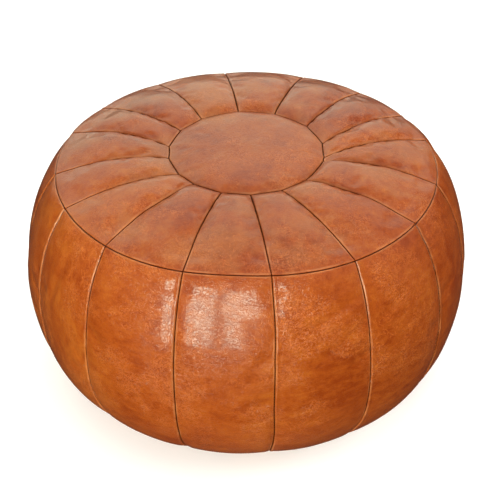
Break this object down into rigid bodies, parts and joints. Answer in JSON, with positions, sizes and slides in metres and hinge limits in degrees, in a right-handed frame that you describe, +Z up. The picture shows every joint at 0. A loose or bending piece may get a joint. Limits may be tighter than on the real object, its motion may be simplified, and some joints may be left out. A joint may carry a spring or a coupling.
{
  "type": "leather pouf",
  "caption": "Round stuffed leather pouf, sewn from tapered petals and side panels round a plain top disc, with a zip in its base.",
  "frame": {"origin": "centre of the underside, on the floor", "axes": "+Z up; the zip in the base runs along X; -Y faces the front"},
  "size_m": [0.5624, 0.5624, 0.319],
  "materials": {
    "cover_leather": "glazed goat leather, mottled tan",
    "base_leather": "plain tan leather, less glazed",
    "zip_tape": "woven polyester tape",
    "zip_brass": "antique brass",
    "waxed_thread": "waxed thread",
    "calico": "unbleached calico",
    "wadding": "loose cotton and wadding"
  },
  "bodies": {
    "cover": {"top_disc": "cover_leather", "base_panel_front": "base_leather", "base_panel_rear": "base_leather", "top_petal_01": "cover_leather", "top_petal_02": "cover_leather", "top_petal_03": "cover_leather", "top_petal_04": "cover_leather", "top_petal_05": "cover_leather", "top_petal_06": "cover_leather", "top_petal_07": "cover_leather", "top_petal_08": "cover_leather", "top_petal_09": "cover_leather", "top_petal_10": "cover_leather", "top_petal_11": "cover_leather", "top_petal_12": "cover_leather", "top_petal_13": "cover_leather", "top_petal_14": "cover_leather", "top_petal_15": "cover_leather", "top_petal_16": "cover_leather", "side_panel_01": "cover_leather", "side_panel_02": "cover_leather", "side_panel_03": "cover_leather", "side_panel_04": "cover_leather", "side_panel_05": "cover_leather", "side_panel_06": "cover_leather", "side_panel_07": "cover_leather", "side_panel_08": "cover_leather", "side_panel_09": "cover_leather", "side_panel_10": "cover_leather", "side_panel_11": "cover_leather", "side_panel_12": "cover_leather", "side_panel_13": "cover_leather", "side_panel_14": "cover_leather", "side_panel_15": "cover_leather", "side_panel_16": "cover_leather", "zip_tape_front": "zip_tape", "zip_tape_rear": "zip_tape", "zip_teeth_front": "zip_brass", "zip_teeth_rear": "zip_brass", "zip_top_stops": "zip_brass", "zip_bottom_stop": "zip_brass", "thread_top_disc": "waxed_thread", "thread_petals": "waxed_thread", "thread_rim": "waxed_thread", "thread_sides": "waxed_thread", "thread_base": "waxed_thread", "thread_zip": "waxed_thread", "inner_bag_top": "calico", "inner_bag_side": "calico", "inner_bag_base": "calico", "filling": "wadding"},
    "slider": {"zip_slider": "zip_brass"},
    "pull": {"zip_pull": "zip_brass"}
  },
  "joints": [
    {"name": "zip_slide", "type": "slide", "parent": "cover", "child": "slider", "axis": [-1, 0, 0], "range_m": [0, 0.2675], "deforming": ["zip_teeth_front", "zip_teeth_rear"]},
    {"name": "pull_flip", "type": "hinge", "parent": "slider", "child": "pull", "pos_m": [0.1335, 0, 0.0073], "axis": [0, -1, 0], "range_deg": [-13, 167]}
  ]
}
